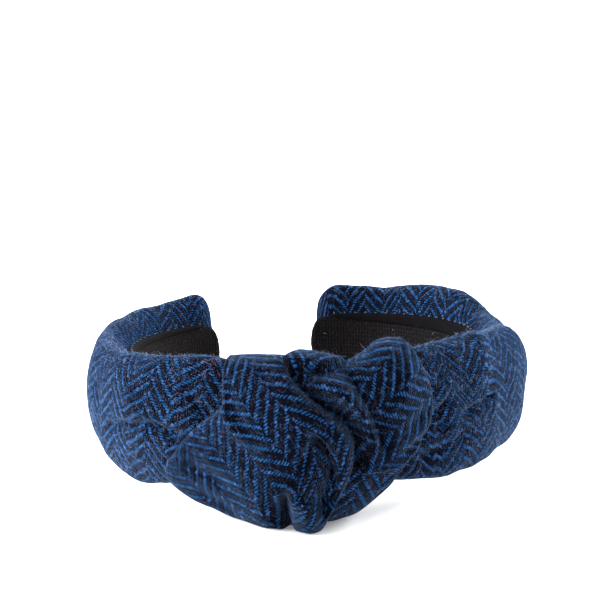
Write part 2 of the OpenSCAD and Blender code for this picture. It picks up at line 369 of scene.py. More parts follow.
def knit_material():
    """Black rib knit: rows of small loops."""
    net = Net("black_knit")
    uv, u, v = net.cloth()
    wobble = net.minus(net.noise(uv, 0.7, 3.0, 0.7), 0.5)
    wobble = net.times(wobble, 2.2)
    x = net.over(net.plus(u, wobble), 1.25)
    y = net.over(net.minus(v, wobble), 1.5)
    slope = net.math("PINGPONG", x, 0.5)
    row = net.math("FRACT", net.plus(y, net.times(slope, 1.1)))
    loop = net.math("SINE", net.times(row, math.pi))
    rib = net.math("SINE", net.times(net.math("FRACT", x), math.pi))
    fibre = net.noise(uv, 6.0, 3.0, 0.7)
    height = net.plus(net.times(loop, rib), net.times(fibre, 0.5))
    patchy = net.noise(uv, 0.9, 2.0)
    # Lighter on the loops' crowns and darker between them: painted light and painted shade over
    # the loops, with random patchy tone.
    lit = net.times(net.times(height, patchy), 1.2)
    knit = Vector(colours().knit)
    cloth = net.mix(lit, tuple(knit * 0.25), tuple(knit * 2.6))
    net.colour(cloth)
    net.bump(height, 0.9 * MM)
    net.set(Roughness=0.95, Specular_IOR_Level=0.02, Sheen_Weight=0.015, Sheen_Roughness=0.5,
            Sheen_Tint=(0.8, 0.74, 0.72, 1))
    return net.material


def ribbon_material():
    """Smooth black ribbon with a fine rib across it."""
    net = Net("satin_ribbon")
    uv, u, _ = net.cloth()
    rib = net.math("SINE", net.times(u, 2 * math.pi / 0.45))
    cloud = net.noise(uv, 0.35, 3.0)
    height = net.plus(net.times(rib, 0.3), cloud)
    net.colour(net.mix(cloud, (0.0018, 0.0018, 0.0022), (0.004, 0.004, 0.005)))
    net.bump(height, 0.12 * MM)
    net.set(Roughness=0.7, Specular_IOR_Level=0.01)
    return net.material


def yarn_material(name, dark, light, sheen=0.3):
    """A single yarn or hair: fibres twisted along it, on Object coordinates."""
    net = Net(name)
    place = net.on_object()
    fine = net.noise(place, 2400.0, 2.0)
    net.colour(net.mix(fine, dark, light))
    net.bump(fine, 0.08 * MM)
    net.set(Roughness=0.8, Sheen_Weight=sheen, Specular_IOR_Level=0.25)
    return net.material


def plastic_material():
    """Moulded black plastic with a fine grain."""
    net = Net("moulded_plastic")
    place = net.on_object()
    grain = net.noise(place, 900.0, 3.0)
    cloud = net.noise(place, 60.0, 2.0)
    net.colour(net.mix(cloud, (0.012, 0.012, 0.013), (0.028, 0.028, 0.03)))
    net.join(net.plus(0.32, net.times(grain, 0.2)), net.shader.inputs["Roughness"])
    net.bump(grain, 0.05 * MM)
    return net.material


def padding_material(name, dark, light):
    """Open-cell foam or felted wadding."""
    net = Net(name)
    place = net.on_object()
    cells = net.node("ShaderNodeTexVoronoi")
    net.join(place, cells.inputs["Vector"])
    cells.inputs["Scale"].default_value = 900.0
    soft = net.noise(place, 120.0, 3.0)
    net.colour(net.mix(soft, dark, light))
    net.bump(cells.outputs["Distance"], 0.3 * MM)
    net.set(Roughness=0.95, Specular_IOR_Level=0.1)
    return net.material


def floor_material():
    """Pale paper sweep."""
    net = Net("pale_paper")
    place = net.on_object()
    fibre = net.noise(place, 700.0, 3.0)
    net.colour(net.mix(fibre, (0.90, 0.90, 0.91), (0.94, 0.94, 0.95)))
    net.bump(fibre, 0.03 * MM)
    net.set(Roughness=0.8, Specular_IOR_Level=0.2, Emission_Color=(1, 1, 1, 1),
            Emission_Strength=0.18)
    return net.material


MATERIALS = {}
MAKERS = {
    "tweed": tweed_material,
    "knit": knit_material,
    "ribbon": ribbon_material,
    "padding": lambda: padding_material("padding_foam", (0.62, 0.59, 0.50), (0.82, 0.79, 0.71)),
    # The knot's stuffing is near-black so that where it shows between the folds it stands in for
    # the crevices' shade: painted shade.
    "wadding": lambda: padding_material("shade_black_wadding", (0.004, 0.005, 0.01),
                                        (0.01, 0.012, 0.02)),
    "band_plastic": plastic_material,
    "thread": lambda: yarn_material("sewing_thread", (0.006, 0.009, 0.02), (0.02, 0.03, 0.06)),
    # One wool hair in two copies: a darkened copy on the knot for painted shade on its front, and
    # a paler copy on the rolls for painted light at their edges.
    "shaded_copy_wool": lambda: yarn_material("shaded_copy_wool_hair", tuple(Vector(colours().fuzz) * 0.12),
                                       tuple(Vector(colours().fuzz) * 0.45), 0.4),
    "wool": lambda: yarn_material("wool_hair", tuple(Vector(colours().fuzz) * 0.5),
                                  tuple(Vector(colours().fuzz) * 1.3), 0.6),
    "crimson": lambda: yarn_material("crimson_thread", (0.10, 0.008, 0.03), (0.24, 0.02, 0.07)),
    "lint": lambda: yarn_material("pale_lint", (0.45, 0.43, 0.40), (0.75, 0.73, 0.70)),
    "paper": floor_material,
}


def finish_with(piece, name):
    """Gives a piece its material."""
    if name not in MATERIALS:
        MATERIALS[name] = MAKERS[name]()
    piece.data.materials.clear()
    piece.data.materials.append(MATERIALS[name])


# ---------------------------------------------------------------- mesh work


def linked_piece(name, points, faces):
    """A piece of band-space points and the faces between them."""
    mesh = bpy.data.meshes.new(name)
    mesh.from_pydata(to_frame(points).tolist(), [], faces)
    piece = bpy.data.objects.new(name, mesh)
    bpy.context.scene.collection.objects.link(piece)
    return piece


def face_out(mesh, smooth_ends=True):
    """Turns every face outwards and smooths it, or only those with four corners."""
    build = bmesh.new()
    build.from_mesh(mesh)
    bmesh.ops.recalc_face_normals(build, faces=build.faces)
    for face in build.faces:
        face.smooth = smooth_ends or len(face.verts) == 4
    build.to_mesh(mesh)
    build.free()


def piece_from_grid(name, points, uv):
    """A closed skin over a grid of band-space points [row][column]: the columns run round it and
    both ends are capped. uv is in millimetres and has one column more."""
    rows, cols = points.shape[:2]
    i, j = np.meshgrid(np.arange(rows - 1), np.arange(cols), indexing="ij")
    k = (j + 1) % cols
    faces = np.stack([i * cols + j, i * cols + k, (i + 1) * cols + k, (i + 1) * cols + j], -1)
    faces = faces.reshape(-1, 4).tolist()
    corners = np.stack([uv[i, j], uv[i, j + 1], uv[i + 1, j + 1], uv[i + 1, j]], -2)
    corners = [corners.reshape(-1, 2)]
    for row in (0, rows - 1):
        faces.append([row * cols + c for c in range(cols)])
        corners.append(uv[row, :cols])
    piece = linked_piece(name, points.reshape(-1, 3), faces)
    layer = piece.data.uv_layers.new(name="cloth")
    layer.data.foreach_set("uv", np.concatenate(corners).astype(np.float32).ravel())
    face_out(piece.data)
    return piece


def tubes(name, rings):
    """Thin closed tubes through rings of band-space points [tube][row][corner]."""
    count, rows, corners = rings.shape[:3]
    row = np.arange(rows - 1)[:, None] * corners
    k = np.arange(corners)
    after = (k + 1) % corners
    sides = np.stack([row + k, row + after, row + corners + after, row + corners + k], -1)
    ends = np.stack([k[::-1], k + (rows - 1) * corners])
    starts = np.arange(count)[:, None, None] * rows * corners
    sides = (starts + sides.reshape(-1, 4)).reshape(-1, 4)
    ends = (starts + ends).reshape(-1, corners)
    return linked_piece(name, rings.reshape(-1, 3), sides.tolist() + ends.tolist())


def near_line(x, y, line):
    """Distance from a given line in the same units, its side, and how far along it."""
    q = np.stack([x, y], -1)
    pts = np.asarray(line, float)
    gaps = np.linalg.norm(np.diff(pts, axis=0), axis=1)
    run = np.concatenate([[0], np.cumsum(gaps)]) / gaps.sum()
    best = np.full(x.shape, 1e9)
    side = np.zeros_like(best)
    part = np.zeros_like(best)
    for i in range(len(pts) - 1):
        a, b = pts[i], pts[i + 1]
        d = b - a
        t = np.clip(((q - a) @ d) / (d @ d), 0, 1)
        off = q - (a + t[..., None] * d)
        dist = np.linalg.norm(off, axis=-1)
        cross = d[0] * off[..., 1] - d[1] * off[..., 0]
        closer = dist < best
        best = np.where(closer, dist, best)
        side = np.where(closer, np.sign(cross), side)
        part = np.where(closer, run[i] + (run[i + 1] - run[i]) * t, part)
    return best, side, part


def creased(x, y, creases):
    """How far listed creases pull a surface in. Each is a line of points (mm), a kind, a
    depth and a width: a groove, or a step down to the right of the line's direction. They fade
    in over the first value of fade (a share of the line) and out over the second."""
    pull = np.zeros_like(x)
    for line, kind, depth, width, fade in creases:
        dist, side, along = near_line(x, y, line)
        grow = ramp(along, 0, fade[0]) * (1 - ramp(along, 1 - fade[1], 1.0 + 1e-6))
        if kind == "groove":
            pull = pull + depth * grow * np.exp(-(dist / width) ** 2)
        elif kind == "ridge":
            pull = pull - depth * grow * np.exp(-(dist / width) ** 2)
        else:  # a step down
            over = -dist * side
            edge = ramp(over, -width * 1.3, width * 0.5)
            fall = np.exp(-np.maximum(over, 0) / (width * 7))
            foot = np.exp(-((over - width * 0.9) / (width * 0.8)) ** 2)
            pull = pull + depth * grow * (edge * fall + foot * 0.35)
    return pull


def lengths(points, axis):
    """Running length along one axis of a grid of points."""
    gaps = np.linalg.norm(np.diff(points, axis=axis), axis=-1)
    start = np.zeros_like(np.take(gaps, [0], axis=axis))
    return np.concatenate([start, np.cumsum(gaps, axis=axis)], axis=axis)


def turned(u, v, degrees):
    """A cloth pattern laid at an angle."""
    a = math.radians(degrees)
    return np.stack([u * math.cos(a) - v * math.sin(a), u * math.sin(a) + v * math.cos(a)], -1)


def crest(angle, above):
    """Half height of the roll, above or below its middle."""
    s = sizes()
    front, side, tip = s.crest_front / MM, s.crest_side / MM, s.crest_tip / MM
    a = np.abs(angle)
    right = np.asarray(angle) > 0
    top = between(a, [14, 30, 60, 95, 130, TIP_A], [front, front, side + 2, side, side, tip])
    dip = np.where(right,
                   between(a, [40, 62, 82, 94, 102, 111, 121, 132, 140, 150, TIP_A],
                           [0, -2.0, -4.5, -1.2, 1.7, 2.5, 2.2, 0.1, -0.5, -0.2, -0.7]),
                   between(a, [40, 62, 84, 100, 115, 130, 142, 154, TIP_A],
                           [0, -1.0, -2.4, -1.6, -0.6, -1.2, -1.0, 0.7, 2.4]))
    low = between(a, [14, 30, 60, 95, 130, TIP_A],
                  [side - 2, side - 0.6, side + 0.2, side, side - 0.5, tip])
    low = low + np.where(right, 2.9 * np.exp(-((a - 26) / 20) ** 2),
                         2.9 * np.exp(-((a - 68) / 12) ** 2))
    return np.where(above, top + dip + s.tip_rise / MM * ramp(a, 95, 150), low)


def thickness(angle):
    """How thick the roll is: at the knot, at its widest on each side, and at the tips."""
    front, left, right, tip = 16.5, 17.3, 19.3, 12.5
    wide = np.where(angle > 0, right, left)
    a = np.abs(angle)
    return front + (wide - front) * ramp(a, 20, 80) - (wide - tip) * ramp(a, 96, TIP_A)


def lining_half(angle):
    """Half the lining's width, which narrows over the second half of each leg."""
    return between(np.abs(angle), [0, 90, TIP_A], [LINING_HALF, LINING_HALF, LINING_HALF - 3])


# ---------------------------------------------------------------- covers


ROLL_CREASES = {
    -1: [([(-104, -5.5), (-92, -2.5), (-78, 0), (-68, -1.2), (-62, -3)], "groove", 2.4, 1.5,
          (0.35, 0.1)),
         ([(-62, 17), (-56, 9), (-50, 4)], "groove", 1.0, 2.2, (0.4, 0.1)),
         ([(-74, -12), (-68, -12), (-62, -13)], "groove", 0.9, 2.0, (0.4, 0.1))],
    1: [([(60, 3.5), (52, 1.4), (43, 0.2), (36, -1.6)], "groove", 2.4, 1.3, (0.3, 0.3)),
        ([(35, 6), (29, 3.4), (24, 0.2), (20, -4)], "groove", 1.6, 1.3, (0.3, 0.1)),
        ([(32, -2.2), (29, -3.0), (26, -2.6)], "groove", 2.6, 1.2, (0.3, 0.3)),
        ([(44, -9), (36, -9), (26, -11), (20, -13)], "groove", 1.2, 2.0, (0.4, 0.1)),
        ([(40, 17), (30, 13), (20, 10)], "groove", 1.0, 2.4, (0.4, 0.1))]}


def roll_grid(side, start, end, rows, cols, inset=0.0, lumps=1.0, seed=1, tip_round=9.0):
    """The padded roll from an angle near the knot to its tip: a closed tube of sections."""
    angles = np.linspace(start, end, rows)
    turn = np.linspace(0, 2 * math.pi, cols, endpoint=False) + math.pi
    a, t = np.meshgrid(angles, turn, indexing="ij")
    c, s = np.cos(t), np.sin(t)
    half = thickness(side * a) / 2
    high = crest(side * a, s > 0)
    # the roll is drawn in where it enters the knot and rounded at its tip
    arc = np.radians(np.abs(end - a)) * HEAD_R
    close = np.clip(1 - arc / tip_round, 0, 1)
    shrink = np.sqrt(np.clip(1 - close ** 2.4, 0.004, 1))
    neck = 0.84 + 0.16 * ramp(np.radians(np.abs(a - start)) * HEAD_R, 6, 34)
    wide = (half - inset) * (0.3 + 0.7 * shrink) * neck
    corner = np.where(s > 0, 1.15, 0.7)
    tall = (high - inset - (1 - shrink) * tip_round * corner) * neck
    power = np.where(s > 0, 2 / 2.1, 2 / 2.4)
    u = half + wide * rounded(c, power)
    z = tall * rounded(s, power)
    # the inner side lies flat behind the lining
    flat = 1.0 + inset
    u = np.where(u < flat, flat - (flat - u) * 0.12, u)
    points = band_point(side * a, HEAD_R + u, z)
    outward = band_point(side * a, c * high / (half + 1e-6), s)
    outward = outward / (np.linalg.norm(outward, axis=-1, keepdims=True) + 1e-9)
    outer = np.clip((u - 2.5) / 4, 0, 1)
    bulge = smooth_noise(points, 19.0, seed) * 1.3 + smooth_noise(points, 8.0, seed + 4) * 0.55
    # gathers run along the band close to the knot
    drawn = points * [0.3, 0.3, 1.0]
    near = 1 - ramp(a, 24, 56)
    bulge = bulge + smooth_noise(drawn, 5.5, seed + 8) * 1.1 * near
    bulge = bulge + smooth_noise(points, 3.2, seed + 12) * 0.13
    bulge = bulge * lumps
    if inset == 0:
        bulge = bulge - creased(np.radians(side * a) * FACE_R, z, ROLL_CREASES[side])
    return a, points + outward * (bulge * outer)[..., None]


def cover_piece(name, side, start, slant, rows=300, cols=180):
    """A roll's tweed, and its grid of points. slant turns the weave from the roll's length."""
    a, points = roll_grid(side, start, TIP_A, rows, cols, seed=3 + side)
    around = lengths(wrapped(points), 1)
    around = around - around[:, [cols // 2]]
    along = np.radians(wrapped(a)) * FACE_R * side
    # below the first crease the cloth has slipped along
    first_crease = ROLL_CREASES[side][0][0]
    dist, below, part = near_line(along, around, first_crease)
    lower = np.where(below * side < 0, ramp(dist, -0.6, 0.6), 0)
    along = along + 2.6 * lower * (1 - ramp(part, 0.75, 1)) * ramp(part, 0, 0.3)
    uv = turned(along, around, slant)
    return piece_from_grid(name, points, uv), points


def flex_blend(piece):
    """Bakes a piece's placement into its mesh."""
    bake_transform(piece)


def hair_piece(name, skins, count, seed, length=(0.7, 2.2), thick=(0.025, 0.045)):
    """Short curled wool hairs standing off grids of band-space points."""
    pick = np.random.default_rng(seed)
    patches = []
    for skin in skins:
        along = skin[1:, :-1] - skin[:-1, :-1]
        across = skin[:-1, 1:] - skin[:-1, :-1]
        normal = np.cross(across, along)
        patches.append((skin, along, across, normal, np.linalg.norm(normal, axis=-1)))
    whole = sum(patch[-1].sum() for patch in patches)
    starts, outs, sides = [], [], []
    for skin, along, across, normal, area in patches:
        chance = (area / area.sum()).ravel()
        chosen = pick.choice(len(chance), int(count * (area.sum() / whole)), p=chance)
        row, col = np.unravel_index(chosen, area.shape)
        normal = normal[row, col] / (area[row, col][:, None] + 1e-9)
        lie = along[row, col]
        here = skin[row, col] + lie * pick.random((len(row), 1))
        here = here + across[row, col] * pick.random((len(row), 1))
        round_at = np.degrees(np.arctan2(here[:, 0], -here[:, 1]))
        middle = band_point(round_at, HEAD_R + ROLL_MIDDLE, 0.0)
        facing = np.sign(np.sum(normal * (here - middle), axis=1, keepdims=True))
        starts.append(here)
        outs.append(normal * facing)
        sides.append(lie / (np.linalg.norm(lie, axis=1, keepdims=True) + 1e-9))
    start, out, lie = map(np.concatenate, (starts, outs, sides))
    total = len(start)
    swing = pick.random((total, 1)) * 2 * math.pi
    flat = lie * np.cos(swing) + np.cross(out, lie) * np.sin(swing)
    size = length[0] + (length[1] - length[0]) * pick.random((total, 1)) ** 2
    stand = 0.15 + 0.55 * pick.random((total, 1))
    curl = pick.normal(0, 0.45, (total, 1, 3))
    step = np.linspace(0, 1, 5)[None, :, None]
    path = start[:, None] - out[:, None] * 0.1 + size[:, None] * (
        flat[:, None] * step * 0.8 + out[:, None] * stand[:, None] * np.sin(step * 2.2)
        + curl * step ** 2 * 0.55)
    width = (thick[0] + (thick[1] - thick[0]) * pick.random((total, 1, 1))) * (1 - step * 0.6)
    side_a = np.cross(flat, out)[:, None]
    rim = [path + width * (side_a * math.cos(w) + out[:, None] * math.sin(w))
           for w in np.arange(3) * 2 * math.pi / 3]
    return tubes(name, np.stack(rim, 2))


class HEADBAND_OT_covers(bpy.types.Operator):
    """Tweed covers, from the knot to each tip, and the foam inside them"""
    bl_idname = "headband.covers"
    bl_label = "Tweed covers"

    def execute(self, context):
        for leg, side, start, crown_node, slant in (
                ("left_leg", -1, 16.0, "crown_cover_left", 12.0),
                ("right_leg", 1, -14.0, "crown_cover_right", -8.0)):
            hand = leg.split("_")[0]
            cover, skin = cover_piece(hand + "_tweed", side, start, slant)
            finish_with(cover, "tweed")
            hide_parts(hand + "_cover", crown_node, hand + "_tip_cap")
            flex_blend(cover)
            outer = slice(28, 152)  # the columns that face away from the head
            fuzz = hair_piece(hand + "_wool_hairs", [skin[8:, outer]], sizes().hairs, 51 + side)
            finish_with(fuzz, "wool")
            flex_blend(fuzz)
            frayed, count, colour = ((skin[30:48, 116:142], 22, "crimson") if side < 0 else
                                     (skin[-14:-5, 118:142], 8, "thread"))
            loose = hair_piece(hand + "_loose_threads", [frayed], count, 73 + side, (2.0, 5.0),
                               (0.06, 0.1))
            finish_with(loose, colour)
            flex_blend(loose)
            _, points = roll_grid(side, start + 8, TIP_A - 3, 90, 48, inset=3.4, lumps=0.5,
                                  seed=3 + side)
            foam = piece_from_grid(hand + "_padding", points, np.zeros((90, 49, 2)))
            finish_with(foam, "padding")
            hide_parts(hand + "_foam", *(["crown_foam"] if side > 0 else []))
            flex_blend(foam)
        return {"FINISHED"}


# ---------------------------------------------------------------- lining


def strip_piece(name, side, low, high, end, rise, rows, cols):
    """A padded strip on the inner face, from the front to an angle, between two heights that are
    functions of the angle. Its end is rounded."""
    end_round = 5.0
    turn = np.linspace(0, 2 * math.pi, cols, endpoint=False)
    a, t = np.meshgrid(np.linspace(0, end, rows), turn, indexing="ij")
    arc = np.radians(np.abs(end - a)) * HEAD_R
    close = np.clip(1 - arc / end_round, 0, 1)
    shrink = np.sqrt(np.clip(1 - close ** 2, 0.01, 1))
    top, bottom = high(a), low(a)
    middle, half = (top + bottom) / 2, (top - bottom) / 2 * shrink
    z = middle + half * rounded(np.sin(t), 0.55)
    u = rise * 0.8 * (1 + rounded(np.cos(t), 0.7) * np.minimum(shrink * 1.5, 1))
    points = band_point(side * a, HEAD_R + u, z)
    uv = wrapped(np.stack([np.radians(a) * HEAD_R, z], -1))
    return piece_from_grid(name, points, uv), points


class HEADBAND_OT_lining(bpy.types.Operator):
    """Knit lining and the smooth ribbon along its upper edge"""
    bl_idname = "headband.lining"
    bl_label = "Lining and ribbon"

    def execute(self, context):
        for leg, side in (("left_leg", -1), ("right_leg", 1)):
            hand = leg.split("_")[0]
            # the strips run on across the front, and the right ones stand for the crown's too
            crown_lining = ["crown_lining"] if side > 0 else []
            crown_ribbon = ["crown_ribbon"] if side > 0 else []
            wide = 5.0 if side > 0 else 3.2
            lining_end = TIP_A + (2.1 if side > 0 else 1.2)
            ribbon_w = lambda a: between(a, [0, 90, 140, RIBBON_END_A],
                                         [wide, wide, wide / 2, 0.6])
            lining, points = strip_piece(hand + "_knit_lining", side, lambda a: -lining_half(a),
                                         lambda a: lining_half(a) - ribbon_w(a), lining_end,
                                         1.5, 240, 64)
            finish_with(lining, "knit")
            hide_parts(hand + "_lining", *crown_lining)
            # the knit is cut as one strip whose width changes towards the tip
            long = math.radians(lining_end) * HEAD_R * MM
            cut = np.linspace(0, lining_end, 60)
            cut = float(np.mean(2 * lining_half(cut) - ribbon_w(cut))) * MM * long
            flex_blend(lining)
            lint = hair_piece(hand + "_lint", [points[60:236, 20:44]], 24, 81 + side, (0.9, 2.8),
                              (0.025, 0.04))
            finish_with(lint, "lint")
            flex_blend(lint)
            ribbon, _ = strip_piece(hand + "_smooth_ribbon", side,
                                    lambda a: lining_half(a) - ribbon_w(a) - 0.3,
                                    lambda a: lining_half(a) + 0.6, RIBBON_END_A, 1.0, 200, 24)
            finish_with(ribbon, "ribbon")
            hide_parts(hand + "_ribbon", *crown_ribbon)
            flex_blend(ribbon)
        return {"FINISHED"}


# ---------------------------------------------------------------- knot


KNOT_DEG = 1.5         # millimetres round the knot's face for each degree round the band
KNOT_POWER = 2 / 2.3   # how square the knot's section is
KNOT_DEEP, KNOT_TALL = 12.5, 24.5     # half depth and half height of that section (mm)
WRINKLE = 0.4          # height of the folds' small wrinkles (mm)
CLOTH_TAKE_UP = 1.07   # cloth used for each millimetre over a fold


def section_angles():
    """Angles over the knot's section against length along it from its front (mm)."""
    angle = np.linspace(0, math.pi, 400)
    c, s = np.cos(angle), np.sin(angle)
    x = KNOT_DEEP * rounded(c, KNOT_POWER)
    z = KNOT_TALL * rounded(s, KNOT_POWER)
    run = np.concatenate([[0], np.cumsum(np.hypot(np.diff(x), np.diff(z)))])
    return run, angle


SECTION_RUN, SECTION_ANGLE = section_angles()


def knot_base(angle, wrap):
    """Radius, height and outward direction on the knot's core, at an angle round the band and a
    length over its section: 0 at the front, about 30 mm on the crest, more on the inside."""
    a = np.asarray(angle, float)
    w = np.interp(np.abs(wrap), SECTION_RUN, SECTION_ANGLE) * np.sign(wrap)
    front = between(a, [-54, -42, -32, -20, -4, 8, 16, 24],
                    [79, 80.5, 82.5, 85.5, 85, 82, 79.5, 77])
    inner = HEAD_R + 3.0
    middle, half = (front + inner) / 2, (front - inner) / 2
    top = between(a, [-54, -34, -20, -12, 0, 8, 16, 24], [21, 23, 24, 22.6, 22.0, 24.6, 24, 22])
    low = between(a, [-54, -48, -36, -18, -9, -4, 4, 10, 24],
                  [19.5, 22.4, 23.2, 28.6, 28, 25.3, 20.2, 17.4, 18])
    c, s = np.cos(w), np.sin(w)
    high = np.where(s > 0, top, low)
    r = middle + half * rounded(c, KNOT_POWER)
    z = high * rounded(s, KNOT_POWER)
    out_r = rounded(c, 2 - KNOT_POWER) / half
    out_z = rounded(s, 2 - KNOT_POWER) / high
    size = np.hypot(out_r, out_z) + 1e-9
    return r, z, out_r / size, out_z / size


def closed_curve(points, count):
    """A smooth closed curve through given points (angle, length over the section, height of
    the rim, roundness of the edge), evenly spaced by length."""
    p = np.asarray(points, float)
    n = len(p)
    fine = []
    for i in range(n):
        a, b, c, d = p[(i - 1) % n], p[i], p[(i + 1) % n], p[(i + 2) % n]
        for t in np.linspace(0, 1, 24, endpoint=False):
            fine.append(0.5 * ((2 * b) + (c - a) * t + (2 * a - 5 * b + 4 * c - d) * t * t
                               + (3 * b - a - 3 * c + d) * t ** 3))
    fine = np.array(fine)
    loop = np.vstack([fine, fine[:1]])
    gap = np.linalg.norm(np.diff(loop[:, :2] * [KNOT_DEG, 1], axis=0), axis=1)
    run = np.concatenate([[0], np.cumsum(gap)])
    want = np.linspace(0, run[-1], count, endpoint=False)
    return np.stack([np.interp(want, run, loop[:, k]) for k in range(p.shape[1])], -1)


def bent_round(x, y, centre):
    """Cloth laid straight from the left and turned clockwise round a centre on its right."""
    dx, dy = x - centre[0], y - centre[1]
    reach = np.hypot(dx, dy)
    swing = np.arctan2(dx, dy)
    swing = np.where(swing < -0.02, swing + 2 * math.pi, swing)
    turning = (dx >= 0) & (swing <= math.pi + 0.05)
    u = np.where(turning, swing * (0.75 * reach + 4), dx)
    v = np.where(turning, reach, dy)
    return u, v


def fold_piece(name, outline, centre, top, creases, grain, seed, bend=None, spokes=300, rings=84):
    """One fold of the knot: a closed pillow over the knot's core inside a given outline."""
    rim = closed_curve(outline, spokes)
    foot, edge = rim[:, 2], np.maximum(rim[:, 3], 1.5)
    rim = rim[:, :2]
    centre = np.array(centre, float)
    part = np.sin(np.linspace(0.01, 1, rings) * math.pi / 2)
    flat = centre + (rim - centre)[None] * part[:, None, None]
    reach = np.linalg.norm((rim - centre) * [KNOT_DEG, 1], axis=1)
    gap = (1 - part)[:, None] * reach[None]
    a, wrap = flat[..., 0], flat[..., 1]
    x, y = a * KNOT_DEG, wrap
    r, z, out_r, out_z = knot_base(a, wrap)
    dome = (1 - (1 - np.clip(gap / edge, 0, 1)) ** 2.3) ** (1 / 2.3)
    up = foot + (top(a, wrap) - creased(x, y, creases) - foot) * dome
    seen = band_point(a, r, z)
    inside = np.clip(gap / 4, 0, 1)
    up = up + inside * (smooth_noise(seen, 10.0, seed) * WRINKLE * 1.3
                        + smooth_noise(seen, 4.5, seed + 9) * WRINKLE * 0.5)
    level = foot.mean()
    under = level + (foot - level) * part[:, None] ** 2 - 0.8 * (1 - part[:, None] ** 4)
    front = band_point(a, r + out_r * up, z + out_z * up)
    back = band_point(a, r + out_r * under, z + out_z * under)
    skin = np.concatenate([front, back[::-1][1:]], axis=0)
    u, v = bent_round(x, y, bend) if bend else (x, y)
    uv = turned(u * CLOTH_TAKE_UP, v * CLOTH_TAKE_UP, grain)
    uv = wrapped(np.concatenate([uv, uv[::-1][1:]], axis=0))
    return piece_from_grid(name, skin, uv), front


def knot_stitches():
    """Slip stitches that hold the folds' turned-in ends to the lining's edges."""
    turn = np.linspace(0, 2 * math.pi, 8, endpoint=False)[:, None]
    along = np.linspace(0, 1, 9)
    rings = []
    for edge in (1, -1):
        for angle in np.arange(-31.0, 9.0, 3.2):
            path = band_point(angle + 1.6 * along, HEAD_R + 2.4 - 1.6 * np.sin(along * math.pi),
                              edge * (LINING_HALF - 0.8 + 4.4 * along))
            line = np.gradient(path, axis=0)
            line = line / np.linalg.norm(line, axis=1, keepdims=True)
            aside = np.cross(line, band_point(angle, 1.0, 0.0))
            aside = aside / np.linalg.norm(aside, axis=1, keepdims=True)
            lift = np.cross(aside, line)
            rings.append(path[:, None] + 0.22 * (aside[:, None] * np.cos(turn)
                                                 + lift[:, None] * np.sin(turn)))
    piece = tubes("knot_slip_stitches", np.array(rings))
    face_out(piece.data, smooth_ends=False)
    return piece


# Outlines of the folds. Each point is degrees round the band, millimetres over the section, the
# rim's height and the roundness of its edge.
FRONT_OUTLINE = [
    (-33.5, 44, -1, 5), (-33.9, 36, -2.5, 5), (-33.8, 26, -3.4, 6), (-33.2, 17, -3.8, 6),
    (-33.2, 11, -3.8, 5), (-36.8, 6.5, -3.6, 4), (-41, 1.5, -3.2, 4), (-45.5, -6, -3, 4),
    (-49.4, -13, -2.4, 4), (-49.6, -18.5, -2.4, 5), (-44, -24, -2, 6), (-36, -31, -2, 7),
    (-27, -38, -2, 8), (-19, -40, -2, 8), (-13.5, -35, -2.5, 6.5), (-10, -25, -5, 5),
    (-8, -19, -6.5, 4.5), (-5.2, -13, -7, 4.2), (-3.6, -7, -7.5, 4.2),
    (-3.6, -1, -7.5, 4.2), (-4.9, 4, -7.5, 4.2), (-7.6, 8.5, -7.5, 4.2),
    (-10.8, 12.2, -7, 4.4), (-14, 17, -6, 4.6), (-16.6, 22, -5, 5), (-17.6, 28, -4, 5),
    (-17.5, 36, -3, 5), (-21, 44, -1, 5), (-27, 46, -1, 5)]
FRONT_CREASES = [
    ([(-27.6, -8), (-28.2, -13), (-28.4, -19), (-27.2, -25), (-24.5, -29)], "groove", 6.0,
     1.35, (0.45, 0.35)),
    ([(-30, -12), (-30.2, -18), (-29.4, -25)], "groove", 3.0, 3.2, (0.4, 0.4)),
    ([(-23, -11), (-21, -17), (-20.5, -24), (-21, -29)], "ridge", 1.4, 2.6, (0.3, 0.3)),
    ([(-22.5, 5.5), (-18.5, 4), (-15.2, 0.5), (-13, -4.5), (-12.4, -10), (-13.4, -15),
      (-17, -19.5)], "step", 8.0, 0.9, (0.28, 0.12)),
    ([(-20.5, 7), (-17, 4), (-14.6, 0), (-13.6, -5), (-13.4, -11)], "ridge", 1.9, 1.4,
     (0.4, 0.3)),
    ([(-26, 16), (-19, 13), (-13.5, 7.5), (-10, 1), (-9, -6)], "ridge", 1.2, 1.8,
     (0.5, 0.3)),
    ([(-46, 18), (-44.5, 12), (-40, 5), (-33, 1.5)], "groove", 1.6, 2.4, (0.2, 0.45)),
    ([(-48.5, 12.5), (-43, 5), (-37, 0.2)], "ridge", 1.0, 2.2, (0.2, 0.4)),
    ([(-47, 3), (-40, -2), (-34, -8)], "groove", 0.9, 3.0, (0.4, 0.4)),
    ([(-66, -9), (-54, -11), (-44, -17)], "groove", 1.1, 2.6, (0.4, 0.4)),
    ([(-62, -18), (-52, -21), (-42, -26)], "groove", 0.9, 2.2, (0.4, 0.4))]


def front_top(a, s):
    """Height of the front fold over the knot's core."""
    high = between(a, [-50, -44, -36, -28, -18, -10, -3],
                   [3.6, 4.6, 4.6, 5.8, 8.0, 8.2, 6.0])
    crest = np.where(s > 0, 3.6, 5.2)
    return high - (high - crest) * ramp(np.abs(s + 3), 12, 31) - 1.8 * ramp(s, 4, 20)


